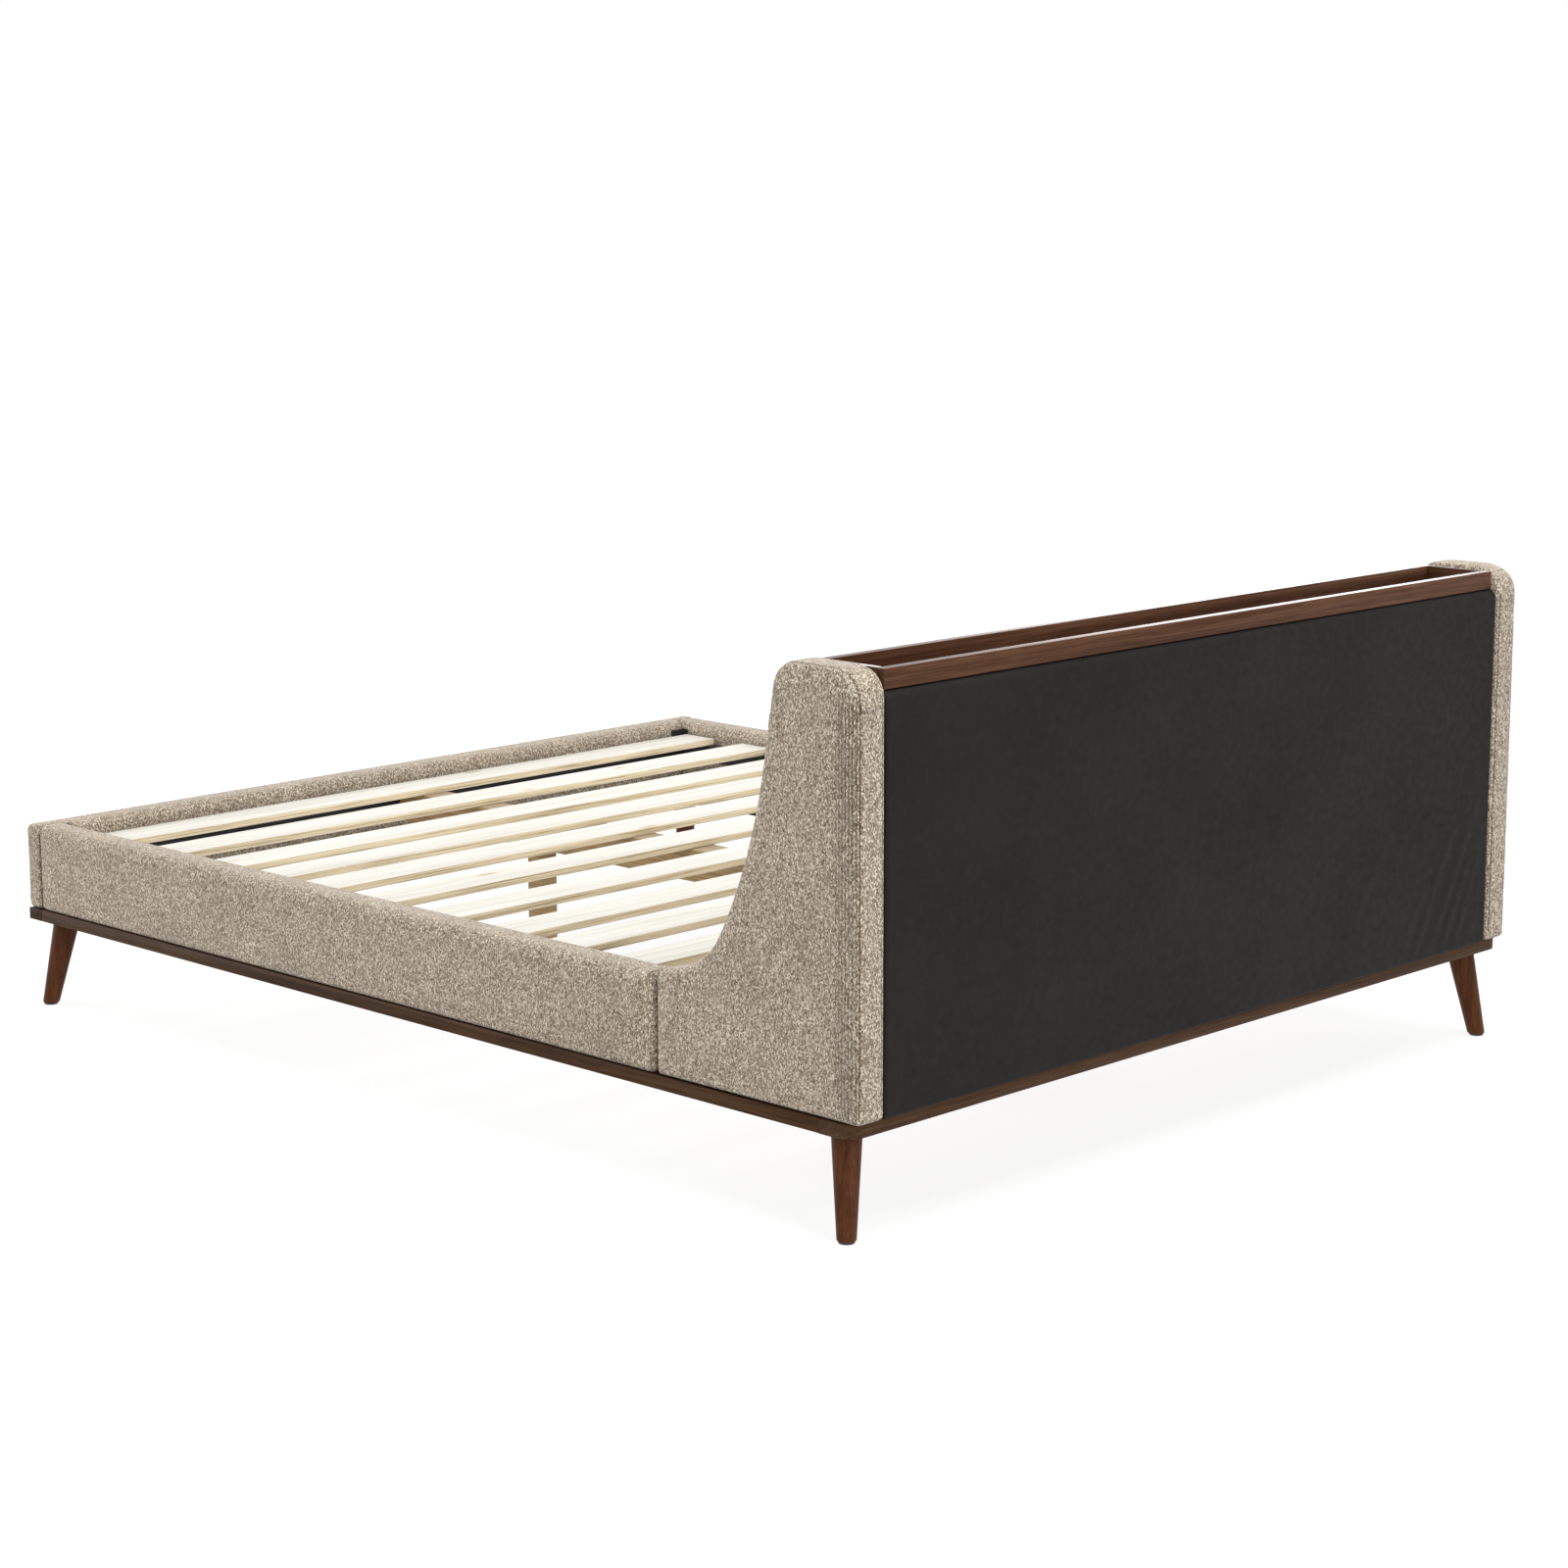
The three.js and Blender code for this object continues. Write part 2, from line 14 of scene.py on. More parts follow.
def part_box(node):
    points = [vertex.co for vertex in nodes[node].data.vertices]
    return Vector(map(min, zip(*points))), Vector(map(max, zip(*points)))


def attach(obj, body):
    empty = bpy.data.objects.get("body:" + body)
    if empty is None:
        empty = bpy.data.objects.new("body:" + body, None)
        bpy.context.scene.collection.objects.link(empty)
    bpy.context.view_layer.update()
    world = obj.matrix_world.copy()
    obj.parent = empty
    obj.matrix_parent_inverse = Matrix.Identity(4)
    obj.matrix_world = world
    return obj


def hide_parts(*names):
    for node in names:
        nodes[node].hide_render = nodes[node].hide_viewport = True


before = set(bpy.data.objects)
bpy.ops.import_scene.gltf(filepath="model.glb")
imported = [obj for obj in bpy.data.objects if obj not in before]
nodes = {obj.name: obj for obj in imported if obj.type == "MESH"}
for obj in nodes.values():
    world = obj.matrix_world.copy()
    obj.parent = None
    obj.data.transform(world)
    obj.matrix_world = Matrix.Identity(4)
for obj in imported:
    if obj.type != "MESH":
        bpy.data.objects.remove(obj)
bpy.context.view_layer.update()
BODY = "bed"

# ---- Camera -------------------------------------------------------------------------------------
CAMERA_PLACE = (4.960, 4.9445, 1.813)
CAMERA_YAW = 224.345  # degrees, from +X towards +Y
CAMERA_PITCH = 10.582  # degrees below the horizon
CAMERA_ROLL = 0.113  # degrees
CAMERA_LENS = 78.49  # mm
CAMERA_SENSOR = 36  # mm

# ---- Padding ------------------------------------------------------------------------------------
VOXEL = 0.006
CUSHION_VOXEL = 0.008
WING_STEP = 0.006  # spacing of the points on each outline
SECTION_STEP = 0.012
CUSHION_STEP = 0.014
SIM_FRAMES = 20
PRESSURE = 4.0
PAD_CAP = 0.004  # furthest that the cloth may move from its start
CUSHION_CAP = 0.016
SWELL = 0.0015  # padding starts this much inside its resting size
BULGE = 0.002  # how far the padded faces stand out past the frame's sizes
WING_RING_IN = 0.02  # the ring that the wing's outline is read from is within this of its outer side
WING_GROW = 0.0015  # makes up for what the subdivision takes off the wing's edges
HEM_ROUND = 0.008
TOP_ROUND = 0.018
EDGE_ROUND = 0.010
INNER_ROUND = 0.003
END_ROUND = 0.006
RAIL_WING_ROUND = 1.6 * EDGE_ROUND  # the rail's end against the wing
RAIL_FOOT_GAP = 0.0005
RAIL_WING_GAP = 0.001
SLAB_RAIL_GAP = 0.001
PAD_RAIL_GAP = 0.002
PAD_LAP = 0.02  # how far the foot's pad starts inside its slab
CUSHION_GAP = 0.001
CUSHION_SET_BACK = 0.004  # room for the cushion's face to swell forwards
CUSHION_ROUND = 0.014

# ---- Seams and ribs -----------------------------------------------------------------------------
FAR = 0.05  # gap stored where there is no seam
SEAM_IN = 0.0095  # the wing's boxing seam, in from its outer side
RETURN_SEAM_IN = 0.0075  # the second seam down its back, out from its inner side
RIB_PITCH = 0.0068
RIB_FULL = 0.036  # the ribs are at full strength this far from the wing's back
RIB_SPAN = 0.056  # and gone here

# ---- Back panel ---------------------------------------------------------------------------------
PANEL_STEP = 0.007
PANEL_FINE = 0.02  # width of the finer stretches of its grid at the top and sides
PANEL_FINE_FOOT = 0.008
PANEL_TOP_ROUND = 0.020
PANEL_SIDE_ROUND = 0.008
PANEL_FOOT_ROUND = 0.004
PANEL_SKIN = 0.003  # least depth left of the panel where its edges are rounded
PANEL_SET_BACK = 0.0008  # room for the waves inside the frame's size
WRINKLES = (  # foot of each wrinkle (x, z), its length, its turn from level in degrees, its height
    (-0.60, 0.225, 0.20, 122, 0.0007),
    (-0.64, 0.215, 0.30, 119, 0.0011),
    (-0.69, 0.220, 0.34, 121, 0.0010),
    (-0.74, 0.215, 0.22, 117, 0.0011),
    (-0.79, 0.225, 0.24, 114, 0.0009),
    (-0.42, 0.300, 0.26, 124, 0.0005),
    (0.72, 0.230, 0.18, 62, 0.0006),
    (0.79, 0.235, 0.20, 66, 0.0006),
)

# ---- Colours, linear: from dark to light --------------------------------------------------------
TWEED_DARK = (0.125, 0.089, 0.058)
TWEED_MID = (0.275, 0.216, 0.154)
TWEED_LIGHT = (0.63, 0.56, 0.45)
LEATHERETTE = ((0.0052, 0.0044, 0.0033), (0.0098, 0.0084, 0.0064))
WALNUT = ((0.020, 0.0088, 0.0032), (0.046, 0.0222, 0.0092), (0.078, 0.0425, 0.0205))
TRAY_WALNUT = ((0.034, 0.0130, 0.0058), (0.066, 0.0280, 0.0138), (0.108, 0.0520, 0.0290))
LEG_WALNUT = ((0.040, 0.0125, 0.0045), (0.070, 0.0235, 0.0092), (0.102, 0.038, 0.0170))
PINE_FACE = ((0.41, 0.385, 0.330), (0.490, 0.472, 0.425), (0.535, 0.522, 0.480))
PINE_EDGE = ((0.27, 0.195, 0.105), (0.57, 0.475, 0.31), (0.72, 0.625, 0.44))
PINE_KNOT = (0.36, 0.24, 0.12)
BEAM_TINT = (0.55, 0.44, 0.30)
PLYWOOD = ((0.40, 0.27, 0.14), (0.52, 0.37, 0.20), (0.60, 0.45, 0.27))
BLACK_TIMBER = ((0.006, 0.006, 0.0055), (0.014, 0.013, 0.012))
BLACK_STEEL = ((0.006, 0.006, 0.006), (0.011, 0.011, 0.011))
STEEL = ((0.30, 0.30, 0.29), (0.42, 0.42, 0.41))
BLACK_PLASTIC = ((0.007, 0.007, 0.007), (0.012, 0.012, 0.012))

# ---- Yarn ---------------------------------------------------------------------------------------
LOOP = 0.0017  # size of one yarn loop in the tweed
LOOP_TALL = 0.0031
LOOP_SWAY = 1.5  # in loops
RIB_WANDER = 0.0030

# ---- Floor and light ----------------------------------------------------------------------------
FLOOR_SIZE = 60.0
FLOOR_WHITE = 0.22
FLOOR_GLOW = 0.80
SKY = 1.0
LIGHTS = (  # name, place, the point it faces, width, height, watts
    ("overhead", (0.2, 0.8, 5.0), (0, 0, 0.4), 4.5, 4.5, 225),
    ("behind_foot", (-3.9, -4.0, 1.9), (0.4, 0.5, 0.7), 6.0, 2.4, 95),
    ("beside_foot", (2.6, -5.6, 1.9), (0.6, 0, 0.6), 3.0, 2.0, 110),
    ("fill_head", (1.6, 6.0, 2.4), (0, 1.2, 0.6), 2.5, 2.5, 115),
)

# ---- Sizes and places from the frame ------------------------------------------------------------
wing_low, wing_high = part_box("wing_cover_right")
rail_low, rail_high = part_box("side_rail_cover_right")
foot_low, foot_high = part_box("foot_panel_cover")
cushion_low, cushion_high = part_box("head_cushion")
panel_low, panel_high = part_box("back_panel")
half_width = wing_high.x
joint_foot = rail_low.y
joint_wing = wing_low.y
seat = wing_low.z  # top of the plinth, where all the covers stand
rail_top = rail_high.z


def smoothstep(low, high, value):
    """0 at low, 1 at high, eased between. low may be the larger one."""
    t = np.clip((value - low) / (high - low), 0, 1)
    return t * t * (3 - 2 * t)


def ridge(value, centre, width):
    """A soft bump of height 1 round centre."""
    return np.exp(-(((value - centre) / width) ** 2))


# ---- Mesh helpers -------------------------------------------------------------------------------
def new_object(name, vertices, faces):
    mesh = bpy.data.meshes.new(name)
    mesh.from_pydata([tuple(v) for v in vertices], [], faces)
    mesh.update()
    made = bpy.data.objects.new(name, mesh)
    bpy.context.scene.collection.objects.link(made)
    return made


def outward(obj):
    """Turns all faces of a closed mesh outwards."""
    bm = bmesh.new()
    bm.from_mesh(obj.data)
    bmesh.ops.recalc_face_normals(bm, faces=bm.faces)
    bm.to_mesh(obj.data)
    bm.free()
    return obj


def points(mesh):
    co = np.empty(len(mesh.vertices) * 3)
    mesh.vertices.foreach_get("co", co)
    return co.reshape(-1, 3)


def normals(mesh):
    found = np.empty(len(mesh.vertices) * 3)
    mesh.vertex_normals.foreach_get("vector", found)
    return found.reshape(-1, 3)


def set_points(mesh, co):
    mesh.vertices.foreach_set("co", np.asarray(co, np.float32).ravel())
    mesh.update()


def apply_modifier(obj, kind, **settings):
    modifier = obj.modifiers.new(kind.lower(), kind)
    for key, value in settings.items():
        setattr(modifier, key, value)
    graph = bpy.context.evaluated_depsgraph_get()
    mesh = bpy.data.meshes.new_from_object(obj.evaluated_get(graph))
    obj.modifiers.clear()
    old = obj.data
    obj.data = mesh
    bpy.data.meshes.remove(old)
    return obj


def smooth(obj):
    obj.data.polygons.foreach_set("use_smooth", [True] * len(obj.data.polygons))
    obj.data.update()


def join_meshes(name, *objects):
    """One object holding the meshes of several, which are removed."""
    vertices, faces = [], []
    for obj in objects:
        start = len(vertices)
        vertices += [v.co.copy() for v in obj.data.vertices]
        faces += [tuple(start + i for i in p.vertices) for p in obj.data.polygons]
        bpy.data.objects.remove(obj)
    return new_object(name, vertices, faces)


def mirror_copy(obj, name):
    """A twin of obj on the other side of the bed."""
    mesh = obj.data.copy()
    mesh.name = name
    co = points(mesh)
    co[:, 0] *= -1
    set_points(mesh, co)
    mesh.flip_normals()
    made = bpy.data.objects.new(name, mesh)
    bpy.context.scene.collection.objects.link(made)
    return made


def fit_box(obj, low, high, bulge=(0, 0, 0)):
    """Stretches obj to fill the box from low to high, grown by bulge on both sides of each axis."""
    co = points(obj.data)
    low = np.array(low) - bulge
    high = np.array(high) + bulge
    least, most = co.min(0), co.max(0)
    set_points(obj.data, low + (co - least) * (high - low) / (most - least))


def mark(obj, name, values):
    """Stores one number for each point, which a material can read."""
    found = obj.data.attributes.get(name) or obj.data.attributes.new(name, "FLOAT", "POINT")
    found.data.foreach_set("value", np.asarray(values, np.float32))


# ---- Outlines -----------------------------------------------------------------------------------
def counter_clockwise(outline):
    ring = np.asarray(outline, float)
    after = np.roll(ring, -1, 0)
    area = 0.5 * (ring[:, 0] * after[:, 1] - after[:, 0] * ring[:, 1]).sum()
    return ring if area > 0 else ring[::-1]


def inset(outline, distance):
    """A closed, counter-clockwise outline moved inwards by distance."""
    ring = np.asarray(outline, float)
    before = ring - np.roll(ring, 1, 0)
    after = np.roll(ring, -1, 0) - ring
    side = []
    for edge in (before, after):
        unit = edge / np.maximum(np.linalg.norm(edge, axis=1)[:, None], 1e-9)
        side.append(np.stack([-unit[:, 1], unit[:, 0]], 1))
    middle = side[0] + side[1]
    middle /= np.maximum(np.linalg.norm(middle, axis=1)[:, None], 1e-9)
    stretch = np.clip((middle * side[0]).sum(1), 0.5, 1)
    return ring + middle * (distance / stretch)[:, None]


def resample(outline, step):
    """The closed outline with points about step apart, keeping its own points."""
    made = []
    ring = np.asarray(outline, float)
    for here, there in zip(ring, np.roll(ring, -1, 0)):
        count = max(1, round(float(np.linalg.norm(there - here)) / step))
        made += [here + (there - here) * i / count for i in range(count)]
    return np.array(made)


def round_corners(corners, steps=5):
    """A closed outline from corners (a, b, radius)."""
    made = []
    count = len(corners)
    for i, (a, b, radius) in enumerate(corners):
        here = np.array([a, b])
        if radius == 0:
            made.append(here)
            continue
        before = np.array(corners[i - 1][:2])
        after = np.array(corners[(i + 1) % count][:2])
        start = here + (before - here) / np.linalg.norm(before - here) * radius
        end = here + (after - here) / np.linalg.norm(after - here) * radius
        for t in np.linspace(0, 1, steps + 1):
            made.append(start * (1 - t) ** 2 + here * 2 * t * (1 - t) + end * t * t)
    return np.array(made)


def end_rings(outline, place, sign, radius, steps=4):
    """Rings (place, outline) from a prism's end inwards, which round the edge of that end."""
    rings = []
    for k in range(steps + 1):
        angle = math.pi / 2 * k / steps
        drawn = inset(outline, radius * (1 - math.sin(angle)))
        rings.append((place + sign * radius * (1 - math.cos(angle)), drawn))
    return rings


def prism(name, outline, low, high, along, round_low, round_high):
    """A closed solid: outline run along an axis from low to high, with its two end edges rounded."""
    outline = counter_clockwise(outline)
    rings = end_rings(outline, low, 1, round_low) + end_rings(outline, high, -1, round_high)[::-1]
    vertices, faces = [], []
    count = len(outline)
    for place, drawn in rings:
        for a, b in drawn:
            vertices.append((place, a, b) if along == "x" else (a, place, b))
    for r in range(len(rings) - 1):
        for i in range(count):
            j = (i + 1) % count
            faces.append((r * count + i, r * count + j, (r + 1) * count + j, (r + 1) * count + i))
    faces.append(tuple(range(count)))
    faces.append(tuple(range((len(rings) - 1) * count, len(rings) * count)))
    return outward(new_object(name, vertices, faces))


# ---- Shapes of the padded pieces before the simulation ------------------------------------------
def wing_outline():
    """Side view of the wing, in Y and Z: the ring of its solid just inside the rounded outer edge."""
    mesh = nodes["wing_cover_right"].data
    co = np.round(points(mesh), 5)
    ring_x = min(x for x in co[:, 0] if half_width - WING_RING_IN < x < half_width - 0.001)
    beside = {}
    for edge in mesh.edges:
        a, b = (tuple(co[i]) for i in edge.vertices)
        if a != b and a[0] == ring_x and b[0] == ring_x:
            beside.setdefault(a[1:], set()).add(b[1:])
            beside.setdefault(b[1:], set()).add(a[1:])
    last, here = None, min(beside, key=lambda p: (p[1], p[0]))
    ring = [here]
    while True:
        onward = [p for p in beside[here] if p != last]
        last, here = here, onward[0]
        if here == ring[0] or len(ring) > len(beside):
            return np.array(ring)
        ring.append(here)


def wing_base():
    outline = resample(inset(counter_clockwise(wing_outline()), -WING_GROW), WING_STEP)
    inner, outer = wing_low.x + 0.0003, wing_high.x - SWELL
    return prism("wing", outline, inner, outer, "x", INNER_ROUND, EDGE_ROUND)


def rail_base():
    section = round_corners([
        (rail_low.x + SWELL, seat + SWELL, HEM_ROUND),
        (rail_high.x - SWELL, seat + SWELL, HEM_ROUND),
        (rail_high.x - SWELL, rail_top - SWELL, TOP_ROUND),
        (rail_low.x + SWELL, rail_top - SWELL, TOP_ROUND),
    ])
    start, end = joint_foot + RAIL_FOOT_GAP, joint_wing - RAIL_WING_GAP
    return prism("rail", resample(section, SECTION_STEP), start, end, "y", END_ROUND, RAIL_WING_ROUND)


def foot_base():
    """The slab across the foot and the pad on its inner face, between the rails."""
    slab_inner = joint_foot - SLAB_RAIL_GAP
    slab = round_corners([
        (foot_low.y + SWELL, seat + SWELL, HEM_ROUND),
        (slab_inner, seat + SWELL, HEM_ROUND),
        (slab_inner, rail_top - SWELL, TOP_ROUND),
        (foot_low.y + SWELL, rail_top - SWELL, TOP_ROUND),
    ])
    pad = round_corners([
        (foot_low.y + PAD_LAP, seat + SWELL, 0),
        (foot_high.y - SWELL, seat + SWELL, HEM_ROUND),
        (foot_high.y - SWELL, rail_top - SWELL, TOP_ROUND),
        (foot_low.y + PAD_LAP, rail_top - SWELL, 0),
    ])
    end = half_width - SWELL
    pad_end = rail_low.x - PAD_RAIL_GAP
    return join_meshes(
        "foot",
        prism("slab", resample(slab, SECTION_STEP), -end, end, "x", EDGE_ROUND, EDGE_ROUND),
        prism("pad", resample(pad, SECTION_STEP), -pad_end, pad_end, "x", END_ROUND, END_ROUND),
    )


def cushion_faces(z):
    """Y of the cushion's leaning front and back at a height, from its solid's box and slope."""
    co = points(nodes["head_cushion"].data)
    back_low = co[co[:, 2] < cushion_low.z + 1e-4][:, 1].max()
    back_high = co[co[:, 2] > cushion_high.z - 1e-4][:, 1].max()
    slope = (back_high - back_low) / (cushion_high.z - cushion_low.z)
    rise = z - cushion_low.z
    return cushion_low.y + slope * rise, back_low + slope * rise


def cushion_base():
    low, high = cushion_low.z + CUSHION_GAP, cushion_high.z - CUSHION_GAP
    front_low, back_low = cushion_faces(low)
    front_high, back_high = cushion_faces(high)
    section = round_corners([
        (front_low + CUSHION_SET_BACK, low, 0.016),
        (back_low, low, 0.004),
        (back_high, high, 0.004),
        (front_high + CUSHION_SET_BACK, high, 0.020),
    ])
    end = cushion_high.x - CUSHION_GAP
    outline = resample(section, CUSHION_STEP)
    return prism("cushion", outline, -end, end, "x", CUSHION_ROUND, CUSHION_ROUND)


# ---- Padding by cloth simulation ----------------------------------------------------------------
def voxel_remesh(obj, voxel):
    return apply_modifier(obj, "REMESH", mode="VOXEL", voxel_size=voxel, adaptivity=0.0)


def add_cloth(obj):
    modifier = obj.modifiers.new("cloth", "CLOTH")
    cloth = modifier.settings
    cloth.quality = 4
    cloth.mass = 0.3
    cloth.tension_stiffness = 15
    cloth.compression_stiffness = 15
    cloth.shear_stiffness = 8
    cloth.bending_stiffness = 1.5
    cloth.use_pressure = True
    cloth.uniform_pressure_force = PRESSURE
    cloth.effector_weights.gravity = 0
    modifier.collision_settings.use_collision = False
    modifier.collision_settings.use_self_collision = False
    modifier.point_cache.frame_start = 1
    modifier.point_cache.frame_end = SIM_FRAMES


def inflate(pads):
    """Runs the cloth on all pads at once. pads holds (object, cap, keep, hold): keep is the share of
    the movement kept along each axis, and hold(co) is 1 where the fabric is free and 0 where it is
    held flat."""
    scene = bpy.context.scene
    rest = [points(obj.data) for obj, *_ in pads]
    for obj, *_ in pads:
        add_cloth(obj)
    for number in range(1, SIM_FRAMES + 1):
        scene.frame_set(number)
    graph = bpy.context.evaluated_depsgraph_get()
    for (obj, cap, keep, hold), start in zip(pads, rest):
        moved = points(obj.evaluated_get(graph).data) - start
        size = np.linalg.norm(moved, axis=1)
        moved *= (np.minimum(size, cap) / np.maximum(size, 1e-9))[:, None] * keep
        obj.modifiers.clear()
        set_points(obj.data, start + moved * hold(start)[:, None])
    scene.frame_set(1)
    for obj, *_ in pads:
        apply_modifier(obj, "SUBSURF", levels=1, render_levels=1)
        smooth(obj)


def above_seat(z):
    """The covers are held flat along the plinth and come free over the next 30 mm."""
    return smoothstep(seat, seat + 0.03, z)


def wing_hold(co):
    """The wing swells a quarter as much on its inner side, and not where it meets the rail."""
    x, y, z = co.T
    inner = 0.25 + 0.75 * smoothstep(wing_low.x + 0.02, wing_high.x - 0.02, x)
    return above_seat(z) * smoothstep(joint_wing, joint_wing + 0.03, y) * inner


def rail_hold(co):
    _, y, z = co.T
    at_foot = smoothstep(joint_foot, joint_foot + 0.05, y)
    at_wing = smoothstep(joint_wing, joint_wing - 0.06, y)
    return above_seat(z) * at_foot * at_wing


def foot_hold(co):
    """The slab is held where the rails stand against it."""
    x, y, z = co.T
    outside = smoothstep(rail_low.x - 0.03, rail_low.x + 0.02, np.abs(x))
    at_joint = smoothstep(joint_foot - 0.02, joint_foot, y) * outside
    return above_seat(z) * (1 - at_joint)


def cushion_hold(co):
    """The face of the cushion swells and its back stays flat on the board."""
    depth = co[:, 1] - cushion_faces(co[:, 2])[0]
    return smoothstep(0.04, 0.015, depth)


def build_pads():
    wing = voxel_remesh(wing_base(), VOXEL)
    rail = voxel_remesh(rail_base(), VOXEL)
    foot = voxel_remesh(foot_base(), VOXEL)
    cushion = voxel_remesh(cushion_base(), CUSHION_VOXEL)
    inflate([
        (wing, PAD_CAP, (1, 0.1, 0.1), wing_hold),
        (rail, PAD_CAP, (1, 0.1, 0.2), rail_hold),
        (foot, PAD_CAP, (0.1, 1, 0.2), foot_hold),
        (cushion, CUSHION_CAP, (0.4, 1, 0.4), cushion_hold),
    ])
    fit_box(wing, wing_low, wing_high + Vector((BULGE, 0, 0)))
    fit_box(rail, rail_low, rail_high, (BULGE, 0, 0))
    fit_box(foot, foot_low, foot_high, (0, BULGE, 0))
    return wing, rail, foot, cushion


# ---- Sewn detail, after the padding -------------------------------------------------------------
def sew(obj, depth, crease, seam_gap=FAR, rib_mask=0.0):
    """Moves each point in along its normal by depth, and stores for the tweed its shade in creases, its
    gap to the nearest seam, where it is ribbed, and how far it lies from the wing's back."""
    mesh = obj.data
    co, n = points(mesh), normals(mesh)
    even = np.zeros(len(co))
    mark(obj, "crease", np.clip(crease, 0, 1))
    mark(obj, "seam_gap", even + seam_gap)
    mark(obj, "rib_mask", even + rib_mask)
    mark(obj, "rib_run", wing_high.y - co[:, 1])
    set_points(mesh, co - n * depth[:, None])


def hem_shade(z):
    return 0.55 * smoothstep(seat + 0.009, seat + 0.002, z)


def boxing_mask(co, n):
    """1 on the band round the wing's edge where the boxing seam runs."""
    _, y, z = co.T
    on_band = smoothstep(0.92, 0.75, np.abs(n[:, 0]))
    free = smoothstep(seat + 0.004, seat + 0.014, z)
    toe = smoothstep(joint_wing + 0.04, joint_wing + 0.12, y)
    return on_band * free * toe


def return_mask(co, n):
    """1 where the return strip is sewn down the back of the wing."""
    z = co[:, 2]
    at_back = smoothstep(0.5, 0.8, n[:, 1])
    below_top = smoothstep(wing_high.z - 0.035, wing_high.z - 0.055, z)
    return at_back * smoothstep(seat + 0.004, seat + 0.02, z) * below_top


def rib_strength(co, n):
    """1 where the fabric is pulled into straight lines before the seam at the back."""
    _, y, z = co.T
    at_side = smoothstep(0.45, 0.75, n[:, 0])
    fade = smoothstep(RIB_SPAN, RIB_FULL, wing_high.y - y)
    uneven = 0.85 + 0.15 * np.sin(z * 9 + 0.7)
    return fade * at_side * uneven * smoothstep(wing_high.z - 0.015, wing_high.z - 0.08, z)


def back_tucks(co, n):
    """Short, nearly level creases across the wing's back: two near the top and one lower down."""
    inwards = wing_high.x - co[:, 0]
    down = wing_high.z - co[:, 2]
    at_back = smoothstep(0.5, 0.85, n[:, 1])
    first = ridge(down, 0.075 - 0.10 * inwards, 0.0022) * smoothstep(0.004, 0.02, inwards)
    second = ridge(down, 0.118 + 0.16 * inwards, 0.003) * smoothstep(0.012, 0.04, inwards) * 0.5
    third = ridge(down, 0.56 - 0.2 * inwards, 0.003) * smoothstep(0.03, 0.01, inwards) * 0.4
    return (first + second + third) * at_back


def finish_wing(wing):
    co, n = points(wing.data), normals(wing.data)
    x, y, z = co.T
    boxing_x, strip_x = wing_high.x - SEAM_IN, wing_low.x + RETURN_SEAM_IN
    boxing, strip, tucks = boxing_mask(co, n), return_mask(co, n), back_tucks(co, n)
    depth = 0.0018 * ridge(x, boxing_x, 0.0032) * boxing
    depth += 0.0011 * ridge(x, strip_x, 0.0028) * strip
    depth += 0.0008 * tucks
    # Painted shade: the tweed darkens the fabric near both seams through these gaps. It also darkens the
    # tucks, the toe against the rail and the hem along the plinth through the crease value.
    boxing_gap = np.abs(x - boxing_x) + FAR * (1 - boxing)
    strip_gap = np.abs(x - strip_x) + FAR * (1 - strip)
    gap = np.minimum(np.minimum(boxing_gap, strip_gap), FAR)
    toe = 0.4 * smoothstep(joint_wing + 0.0030, joint_wing + 0.0005, y)
    sew(wing, depth, 0.5 * tucks + hem_shade(z) + toe, gap, rib_strength(co, n))


def finish_rail(rail):
    """A small pleat on top beside the wing with painted shade in it, and painted shade at the joints at
    both ends and along the hem.
    """
    x, y, z = points(rail.data).T
    from_outside = rail_high.x - x
    pleat = ridge(y, joint_wing - 0.020 + 0.35 * from_outside, 0.0026)
    pleat *= smoothstep(rail_top - 0.03, rail_top - 0.012, z)
    pleat *= smoothstep(0.034, 0.010, from_outside)
    at_wing = smoothstep(joint_wing - 0.013, joint_wing - 0.003, y)
    at_foot = smoothstep(joint_foot + 0.004, joint_foot, y)
    depth = 0.0014 * pleat + 0.001 * at_wing
    sew(rail, depth, 0.7 * pleat + 0.45 * at_wing + 0.7 * at_foot + hem_shade(z))


def finish_foot(foot):
    """The stitched corners where the pad meets the side rails, with painted shade in them, and painted
    shade at the slab's joints and along the hem.
    """
    x, y, z = points(foot.data).T
    across = np.abs(x)
    corner = ridge(across, rail_low.x - 0.001, 0.003)
    corner *= smoothstep(joint_foot - 0.002, joint_foot + 0.004, y)
    joint = smoothstep(rail_low.x + 0.01, rail_low.x + 0.02, across)
    joint *= smoothstep(joint_foot - 0.007, joint_foot - 0.002, y)
    sew(foot, 0.001 * corner, 0.8 * corner + 0.6 * joint + hem_shade(z))


def finish_cushion(cushion):
    """The boxing seam round the face of the cushion, pressed in and darkened with painted shade."""
    co, n = points(cushion.data), normals(cushion.data)
    behind_face = co[:, 1] - cushion_faces(co[:, 2])[0]
    seam = ridge(behind_face, 0.026, 0.003) * smoothstep(0.9, 0.5, np.abs(n[:, 1]))
    sew(cushion, 0.0016 * seam, 0.8 * seam)


# ---- Back panel ---------------------------------------------------------------------------------
def panel_rounding(x, z):
    """How far the rounded edges fall away from the panel's rear plane."""
    gone = 0.0
    gaps = (
        (panel_high.x - np.abs(x), PANEL_SIDE_ROUND),
        (panel_high.z - z, PANEL_TOP_ROUND),
        (z - panel_low.z, PANEL_FOOT_ROUND),
    )
    for gap, radius in gaps:
        t = np.clip(1 - gap / radius, 0, 1)
        gone = gone + radius * (1 - np.sqrt(1 - t * t + 1e-9))
    return np.minimum(gone, panel_high.y - panel_low.y - PANEL_SKIN)


